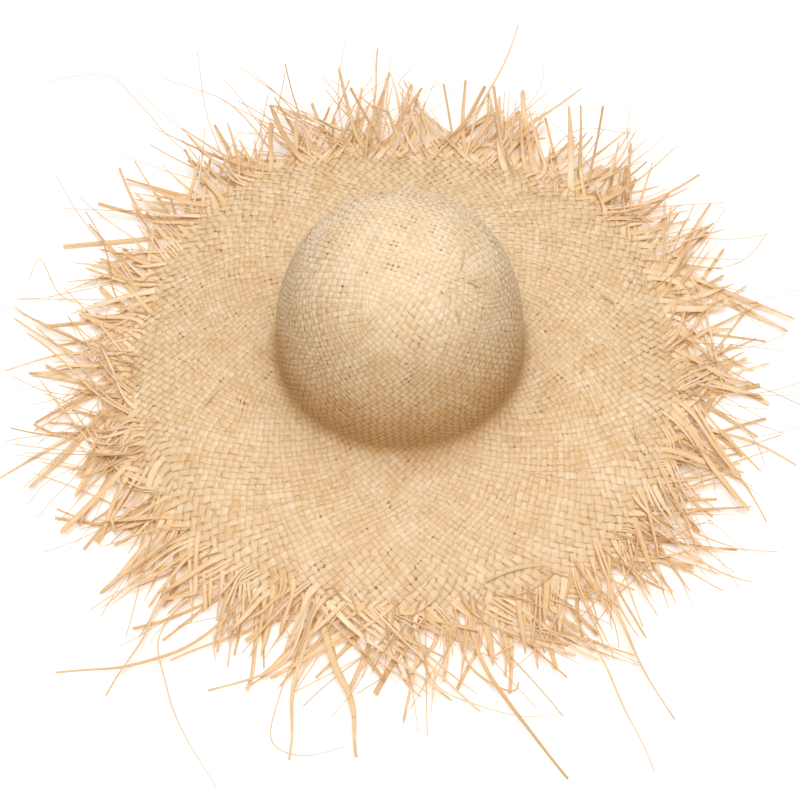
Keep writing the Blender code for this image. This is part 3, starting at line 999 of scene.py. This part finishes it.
def stitches_mesh():
    """Running stitches of two-ply thread, each from hole to hole on the band's inner face."""
    rise = BAND_FOOT + STITCH_HEIGHT
    face = band_radius(rise, 1) - RIBBON / 2
    half_tab = JOIN_WIDTH / 2 / CROWN_RADIUS + STITCH_GAP
    first, last = math.pi / 2 + half_tab, math.pi / 2 + 2 * math.pi - half_tab
    spacing = (last - first) / STITCHES
    share = np.linspace(0, 1, 17)
    hump = np.sin(math.pi * share)
    radius = face - THREAD_RADIUS * (1.25 * hump**0.35 - 0.25)
    around = np.linspace(0, 2 * math.pi, THREAD_SIDES, endpoint=False)
    plies = 2 * (around[None] - THREAD_TWISTS * share[:, None])
    thick = THREAD_RADIUS * (1 + PLY_DEPTH * np.cos(plies))
    level, upright = np.cos(around)[None, :, None], np.sin(around)[None, :, None]
    stitches = []
    for number in range(STITCHES):
        angle = first + spacing * (number + STITCH_START + STITCH_SHARE * share)
        height = FOOT_HEIGHT + rise + STITCH_SAG * np.sin(3.1 * number) * hump
        centre = np.stack([radius * np.cos(angle), radius * np.sin(angle), height], 1)
        inward = np.stack([-np.cos(angle), -np.sin(angle), 0 * angle], 1)
        loop = level * inward[:, None] + upright * np.array([0, 0, 1.0])
        stitches.append(centre[:, None] + thick[..., None] * loop)
    return rows_mesh("sweatband thread", stitches)


def add_sweatband(ribbon_cloth, thread_cotton):
    """The ribbon inside the crown's foot, the tab over its ends and the seam."""
    band = add_piece("sweatband_ribbon", sweatband_mesh(), ribbon_cloth, "ribbon", "sweatband")
    tab = add_piece("sweatband_tab", join_tab_mesh(), ribbon_cloth, "ribbon", "sweatband_join_tab")
    seam = add_piece("sweatband_stitches", stitches_mesh(), thread_cotton, "thread", "sweatband_thread")


# ---- materials ----------------------------------------------------------------------


class Nodes:
    """Short calls for one node tree."""

    def __init__(self, tree):
        self.tree = tree

    def add(self, kind, values=(), **settings):
        node = self.tree.nodes.new(kind)
        for name, value in settings.items():
            setattr(node, name, value)
        for socket, value in dict(values).items():
            if hasattr(value, "is_output"):
                self.tree.links.new(value, node.inputs[socket])
            else:
                node.inputs[socket].default_value = value
        return node

    def maths(self, operation, *values, clamp=False):
        pins = dict(enumerate(values))
        return self.add("ShaderNodeMath", pins, operation=operation, use_clamp=clamp).outputs[0]

    def between(self, value, low, high, to_low=0.0, to_high=1.0):
        pins = {"Value": value, "From Min": low, "From Max": high, "To Min": to_low, "To Max": to_high}
        return self.add("ShaderNodeMapRange", pins).outputs["Result"]

    def mixed(self, share, first, second):
        pins = {"Factor": share, 6: first, 7: second}
        return self.add("ShaderNodeMix", pins, data_type="RGBA").outputs[2]

    def strand(self, name):
        return self.add("ShaderNodeAttribute", attribute_name="strand_" + name).outputs["Fac"]


def new_material(name):
    """A material, its nodes and its main shader's inputs."""
    made = bpy.data.materials.new(name)
    made.use_nodes = True
    return made, Nodes(made.node_tree), made.node_tree.nodes["Principled BSDF"]


def new_group(name, inputs, outputs):
    """A node group with named inputs and outputs, which are all plain numbers."""
    tree = bpy.data.node_groups.new(name, "ShaderNodeTree")
    for label, default in inputs.items():
        socket = tree.interface.new_socket(label, in_out="INPUT", socket_type="NodeSocketFloat")
        socket.default_value = default
    for label in outputs:
        tree.interface.new_socket(label, in_out="OUTPUT", socket_type="NodeSocketFloat")
    nodes = Nodes(tree)
    return nodes, nodes.add("NodeGroupInput").outputs, nodes.add("NodeGroupOutput").inputs


def fibre_grain():
    """The long fibres of a raffia leaf: streaks that run along the strand, and fine grooves."""
    inputs = {"Along": 0.0, "Across": 0.0, "Seed": 0.0, "Fibres": 4.0, "Streaks per Metre": 90.0}
    nodes, given, made = new_group("fibre grain", inputs, ("Streak", "Groove"))
    along = nodes.maths("MULTIPLY", given["Along"], given["Streaks per Metre"])
    across = nodes.maths("MULTIPLY", given["Across"], given["Fibres"])
    seed = nodes.maths("MULTIPLY", given["Seed"], 173.0)
    place = nodes.add("ShaderNodeCombineXYZ", {"X": along, "Y": across, "Z": seed}).outputs[0]
    streak = nodes.add("ShaderNodeTexNoise", {"Vector": place, "Scale": 1.0, "Detail": 3.0})
    fine = nodes.add("ShaderNodeVectorMath", {0: place, 1: (0.35, 3.0, 1.0)}, operation="MULTIPLY")
    groove = nodes.add("ShaderNodeTexNoise", {"Vector": fine.outputs[0], "Scale": 1.0, "Detail": 1.0})
    links = nodes.tree.links
    links.new(nodes.between(streak.outputs["Fac"], 0.3, 0.7), made["Streak"])
    links.new(groove.outputs["Fac"], made["Groove"])
    return nodes.tree


def leaf_patches():
    """Where a strand is paler or browner along its length, and small dry spots."""
    inputs = {"Along": 0.0, "Across": 0.0, "Seed": 0.0}
    nodes, given, made = new_group("leaf patches", inputs, ("Patch", "Spot"))
    along = nodes.maths("MULTIPLY", given["Along"], 38.0)
    seed = nodes.maths("MULTIPLY", given["Seed"], 311.0)
    place = nodes.add("ShaderNodeCombineXYZ", {"X": along, "Y": seed}).outputs[0]
    patch = nodes.add("ShaderNodeTexNoise", {"Vector": place, "Scale": 1.0, "Detail": 2.0})
    quick = nodes.maths("MULTIPLY", given["Along"], 260.0)
    wide = nodes.maths("MULTIPLY", given["Across"], 0.7)
    near = nodes.add("ShaderNodeCombineXYZ", {"X": quick, "Y": wide, "Z": seed}).outputs[0]
    spot = nodes.add("ShaderNodeTexNoise", {"Vector": near, "Scale": 1.0, "Detail": 1.0})
    links = nodes.tree.links
    links.new(nodes.between(patch.outputs["Fac"], 0.32, 0.68), made["Patch"])
    links.new(nodes.between(spot.outputs["Fac"], 0.60, 0.74), made["Spot"])
    return nodes.tree


def weathering_and_hole_shade():
    """Soft uneven colour over the whole weave, and painted shade: small dark spots at some of its
    corners, where a gap would show.
    """
    inputs = {"Across": 0.0, "Over": 1.0}
    nodes, given, made = new_group("weathering_and_hole_shade", inputs, ("Weather", "HoleShade"))
    place = nodes.add("ShaderNodeTexCoord").outputs["Object"]
    soft = nodes.add("ShaderNodeTexNoise", {"Vector": place, "Scale": 55.0, "Detail": 3.0})
    here = nodes.add("ShaderNodeTexNoise", {"Vector": place, "Scale": 95.0, "Detail": 1.0})
    side = nodes.between(nodes.maths("ABSOLUTE", given["Across"]), 0.45, 0.80)
    crossing = nodes.between(nodes.maths("ABSOLUTE", given["Over"]), 0.55, 0.25)
    corner = nodes.maths("MULTIPLY", side, crossing)
    links = nodes.tree.links
    links.new(nodes.between(soft.outputs["Fac"], 0.3, 0.7, -1.0, 1.0), made["Weather"])
    # painted shade at some corners where the strands cross
    some = nodes.between(here.outputs["Fac"], 0.655, 0.70)
    links.new(nodes.maths("MULTIPLY", corner, some), made["HoleShade"])
    return nodes.tree


def raffia(name, effects, colours, brownness, tone_spread, edge_shade):
    """Dried raffia leaf, paler and browner from strand to strand and along each strand, with painted
    shade at strand edges, under crossings, at some corners and on the crown's side, and a painted
    highlight on its top.
    """
    made, nodes, shader = new_material(name)
    grain, patches, wear_and_hole_shade = effects
    along, across, seed, tone = (nodes.strand(n) for n in ("along", "across", "seed", "tone"))
    depth, over = nodes.strand("depth"), nodes.strand("over")
    place = {"Along": along, "Across": across, "Seed": seed}
    fibres = nodes.add("ShaderNodeGroup", place, node_tree=grain).outputs
    leaf = nodes.add("ShaderNodeGroup", place, node_tree=patches).outputs
    crossing = {"Across": across, "Over": over}
    worn_and_hole_shade = nodes.add("ShaderNodeGroup", crossing, node_tree=wear_and_hole_shade).outputs
    shade = nodes.maths("MULTIPLY", tone, tone_spread)
    shade = nodes.maths("MULTIPLY_ADD", fibres["Streak"], STREAK_GOLD, shade)
    shade = nodes.maths("MULTIPLY_ADD", leaf["Patch"], PATCH_GOLD, shade)
    shade = nodes.maths("MULTIPLY_ADD", worn_and_hole_shade["Weather"], WEATHER_GOLD, shade)
    # painted shade on the crown's side and painted highlight on its top; on loose ends, browner tips
    shade = nodes.maths("MULTIPLY_ADD", depth, SIDE_GOLD, shade, clamp=True)
    pale, gold, dark = ((*colour, 1) for colour in colours)
    straw = nodes.mixed(shade, pale, gold)
    # painted shade along each strand's two edges
    edge = nodes.between(nodes.maths("ABSOLUTE", across), 0.52, 1.0, 0.0, edge_shade)
    brown = nodes.maths("MULTIPLY_ADD", leaf["Spot"], brownness, edge)
    brown = nodes.maths("MULTIPLY_ADD", depth, SIDE_BROWN, brown)
    # painted shade where a strand dips under another, stronger in patches
    dips = nodes.between(over, 0.20, -0.2)
    dip_shade_strength = nodes.between(leaf["Patch"], 0.25, 1.0, 0.08, DIP_SHADE)
    brown = nodes.maths("MULTIPLY_ADD", dips, dip_shade_strength, brown)
    # tones over 1 are browner: the hairs' own colour, and painted shade on the ends under the weave's
    # edge
    old = nodes.between(tone, 1.0, 2.5, 0.0, TONE_BROWN)
    brown = nodes.maths("ADD", brown, old, clamp=True)
    # painted shade: dark brown at some of the weave's corners
    colour = nodes.mixed(worn_and_hole_shade["HoleShade"], nodes.mixed(brown, straw, dark), (*HOLE_SHADE_BROWN, 1))
    groove = {"Height": fibres["Groove"], "Distance": 0.0002, "Strength": 0.6}
    bump = nodes.add("ShaderNodeBump", groove)
    roughness = nodes.between(fibres["Groove"], 0.3, 0.7, 0.42, 0.62)
    nodes.tree.links.new(colour, shader.inputs["Base Color"])
    nodes.tree.links.new(roughness, shader.inputs["Roughness"])
    nodes.tree.links.new(bump.outputs["Normal"], shader.inputs["Normal"])
    shader.inputs["Specular IOR Level"].default_value = 0.5
    return made


def cotton_mottle():
    """Uneven cotton: soft patches, and the fuzz of single threads."""
    nodes, given, made = new_group("cotton mottle", {"Fineness": 1000.0}, ("Patch", "Fuzz"))
    place = nodes.add("ShaderNodeTexCoord").outputs["Object"]
    soft = nodes.add("ShaderNodeTexNoise", {"Vector": place, "Scale": 45.0, "Detail": 3.0})
    fineness = {"Vector": place, "Scale": given["Fineness"], "Detail": 2.0}
    fine = nodes.add("ShaderNodeTexNoise", fineness)
    links = nodes.tree.links
    links.new(nodes.between(soft.outputs["Fac"], 0.35, 0.65), made["Patch"])
    links.new(nodes.between(fine.outputs["Fac"], 0.3, 0.7), made["Fuzz"])
    return nodes.tree


def cotton(name, mottle, colour, roughness, fineness):
    """Cream cotton, a little greyer in patches."""
    made, nodes, shader = new_material(name)
    uneven = nodes.add("ShaderNodeGroup", {"Fineness": fineness}, node_tree=mottle).outputs
    darker = tuple(0.80 * c for c in colour)
    patches = nodes.maths("MULTIPLY", uneven["Patch"], 0.4)
    shade = nodes.maths("MULTIPLY_ADD", uneven["Fuzz"], 0.5, patches)
    fuzz = {"Height": uneven["Fuzz"], "Distance": 0.0001, "Strength": 0.5}
    bump = nodes.add("ShaderNodeBump", fuzz)
    links = nodes.tree.links
    links.new(nodes.mixed(shade, (*colour, 1), (*darker, 1)), shader.inputs["Base Color"])
    links.new(bump.outputs["Normal"], shader.inputs["Normal"])
    shader.inputs["Roughness"].default_value = roughness
    shader.inputs["Sheen Weight"].default_value = 0.15
    return made


# ---- the picture --------------------------------------------------------------------

VIEW_RISE = math.radians(54.6)  # of the camera, seen from the crown's foot
VIEW_DISTANCE = 1.30
VIEW_AIM = math.radians(1.75)  # how far below the crown's foot the camera looks
LENS, SENSOR = 75.0, 36.0
PAPER_HALF = 4.0  # half the side of the paper under the hat
PAPER_WHITE = (0.95, 0.945, 0.955)
PAPER_FADE = (0.9, 1.7)  # from the hat's middle, where the paper begins and ends to fade out
LIGHTS = (  # name, place, aim, size, power, colour
    ("top softbox", (0.10, 0.05, 3.0), (0, 0, 0), 4.0, 157, (1.0, 0.985, 0.965)),
    ("front fill", (-0.1, -2.6, 0.9), (0, 0, 0.08), 2.4, 21, (1.0, 0.84, 0.62)),
    ("back fill", (-0.3, 2.4, 1.5), (0, 0, 0.08), 1.8, 7, (1.0, 0.93, 0.82)),
)
LOW_LIGHT = ("light from below", (0, 0, -1.2), (0, 0, 0), 1.6, 14, (1.0, 0.96, 0.9))
ROOM_COLOUR, ROOM_STRENGTH = (1, 0.91, 0.78), 0.12  # of the light that comes from all round


def add_camera():
    """Looks down at the hat from the front."""
    camera = bpy.data.objects.new("camera", bpy.data.cameras.new("camera"))
    bpy.context.scene.collection.objects.link(camera)
    camera.data.lens = LENS
    camera.data.sensor_width = SENSOR
    foot = Vector((0, 0, FOOT_HEIGHT))
    back = Vector((0, -math.cos(VIEW_RISE), math.sin(VIEW_RISE)))
    camera.location = foot + VIEW_DISTANCE * back
    camera.rotation_euler = (math.pi / 2 - VIEW_RISE - VIEW_AIM, 0, 0)
    bpy.context.scene.camera = camera


def add_floor():
    """One large square of paper."""
    mesh = bpy.data.meshes.new("floor")
    corners = [(x * PAPER_HALF, y * PAPER_HALF, 0) for x, y in ((-1, -1), (1, -1), (1, 1), (-1, 1))]
    mesh.from_pydata(corners, [], [(0, 1, 2, 3)])
    floor = bpy.data.objects.new("floor", mesh)
    bpy.context.scene.collection.objects.link(floor)
    floor.data.materials.append(white_paper())


def white_paper():
    """Plain paper that ends softly far from the hat, and can be seen through from below."""
    made, nodes, paper = new_material("white paper")
    paper.inputs["Base Color"].default_value = (*PAPER_WHITE, 1)
    paper.inputs["Roughness"].default_value = 0.9
    spot = nodes.add("ShaderNodeNewGeometry").outputs
    away = nodes.add("ShaderNodeVectorMath", {0: spot["Position"]}, operation="LENGTH")
    fade = nodes.between(away.outputs["Value"], *PAPER_FADE)
    clear = nodes.maths("MAXIMUM", fade, spot["Backfacing"], clamp=True)
    glass = nodes.add("ShaderNodeBsdfTransparent").outputs[0]
    mixed = nodes.add("ShaderNodeMixShader", {0: clear, 1: paper.outputs[0], 2: glass})
    output = nodes.tree.nodes["Material Output"]
    nodes.tree.links.new(mixed.outputs[0], output.inputs["Surface"])
    return made


def add_light(name, place, aim, size, power, colour):
    """A square soft light."""
    lamp = bpy.data.lights.new(name, "AREA")
    lamp.size = size
    lamp.energy = power
    lamp.color = colour
    light = bpy.data.objects.new(name, lamp)
    bpy.context.scene.collection.objects.link(light)
    light.location = place
    light.rotation_euler = (Vector(aim) - Vector(place)).to_track_quat("-Z", "Y").to_euler()
    return light


def add_lights():
    """Soft light from all round. The light from below passes the floor: only the hat stops it."""
    for light in LIGHTS:
        add_light(*light)
    hat = bpy.data.collections.new("hat")
    for piece in bpy.context.scene.objects:
        if piece.type == "MESH" and piece.name != "floor":
            hat.objects.link(piece)
    add_light(*LOW_LIGHT).light_linking.blocker_collection = hat
    add_world()


def add_world():
    """A warm room that looks plain white to the camera."""
    world = bpy.data.worlds.new("studio")
    bpy.context.scene.world = world
    world.use_nodes = True
    nodes = Nodes(world.node_tree)
    fill = nodes.tree.nodes["Background"]
    fill.inputs["Color"].default_value = (*ROOM_COLOUR, 1)
    fill.inputs["Strength"].default_value = ROOM_STRENGTH
    wall = nodes.add("ShaderNodeBackground", {"Color": (1, 1, 1, 1), "Strength": 1.0}).outputs[0]
    seen = nodes.add("ShaderNodeLightPath").outputs["Is Camera Ray"]
    mixed = nodes.add("ShaderNodeMixShader", {0: seen, 1: fill.outputs[0], 2: wall}).outputs[0]
    nodes.tree.links.new(mixed, nodes.tree.nodes["World Output"].inputs["Surface"])


# ---- the whole scene ----------------------------------------------------------------

BRIM_PIECES = 4


def add_strands(name, strands, straw, slot, *stands_for):
    add_piece(name, strands_mesh(name, strands), straw, slot, *stands_for)


def add_crown(crown, straw):
    """The strands that cross the tip, those that come in further down, and stray ends."""
    groups = {
        "crown_strands_lengthwise": [s for s in crown if s["crosses_tip"] and s["family"] == 0],
        "crown_strands_crosswise": [s for s in crown if s["crosses_tip"] and s["family"] == 1],
        "crown_strands_added": [s for s in crown if not s["crosses_tip"]],
        "crown_stray_ends": stray_ends(CROWN_STRAYS, 45),
    }
    for name, members in groups.items():
        add_strands(name, members, straw, "woven raffia", "crown")


def add_brim(brim, straw):
    """Every fourth strand round the brim to each piece, and stray ends."""
    brim.sort(key=lambda s: s["angle"][0] % (2 * math.pi))
    groups = {f"brim_strands_{n + 1}": brim[n::BRIM_PIECES] for n in range(BRIM_PIECES)}
    groups["brim_stray_ends"] = stray_ends(BRIM_STRAYS, 46)
    for name, members in groups.items():
        add_strands(name, members, straw, "woven raffia", "brim")


def add_fringe(brim, loose):
    """The loose ends, in pieces round the hat that each stand for three locks."""
    ends = fringe_strands(brim, 41) + hairs(42) + under_strands(43) + long_ends(44)
    sector = 2 * math.pi / FRINGE_PIECES
    share = len(LOCKS) // FRINGE_PIECES
    for number in range(FRINGE_PIECES):
        members = [e for e in ends if fringe_piece(e["root"], sector) == number]
        locks = LOCKS[number * share : (number + 1) * share]
        add_strands(f"fringe_{number + 1:02d}", members, loose, "loose raffia", *locks)


def fringe_piece(angle, sector):
    """Which piece an end belongs to. The first piece begins half a lock before the +X side."""
    return int(((angle + sector / 6) % (2 * math.pi)) / sector)


def main():
    """Builds the hat, the floor, the lights and the camera."""
    bpy.context.scene.view_settings.view_transform = "Standard"
    add_camera()
    add_floor()
    effects, mottle = (fibre_grain(), leaf_patches(), weathering_and_hole_shade()), cotton_mottle()
    woven = dict(brownness=0.40, tone_spread=0.30, edge_shade=0.32)
    straw = raffia("woven raffia", effects, WOVEN_COLOURS, **woven)
    frayed = dict(brownness=0.30, tone_spread=0.55, edge_shade=0.38)
    loose = raffia("loose raffia", effects, LOOSE_COLOURS, **frayed)
    crown, brim = split_at_head_line(woven_strands(strand_runs()))
    brim = trim_to_rim(brim)
    add_crown(crown, straw)
    add_brim(brim, straw)
    add_fringe(brim, loose)
    ribbon_cloth = cotton("ribbon", mottle, (0.80, 0.71, 0.56), roughness=0.85, fineness=900.0)
    thread = cotton("thread", mottle, (0.86, 0.79, 0.66), roughness=0.65, fineness=2500.0)
    add_sweatband(ribbon_cloth, thread)
    add_lights()


main()
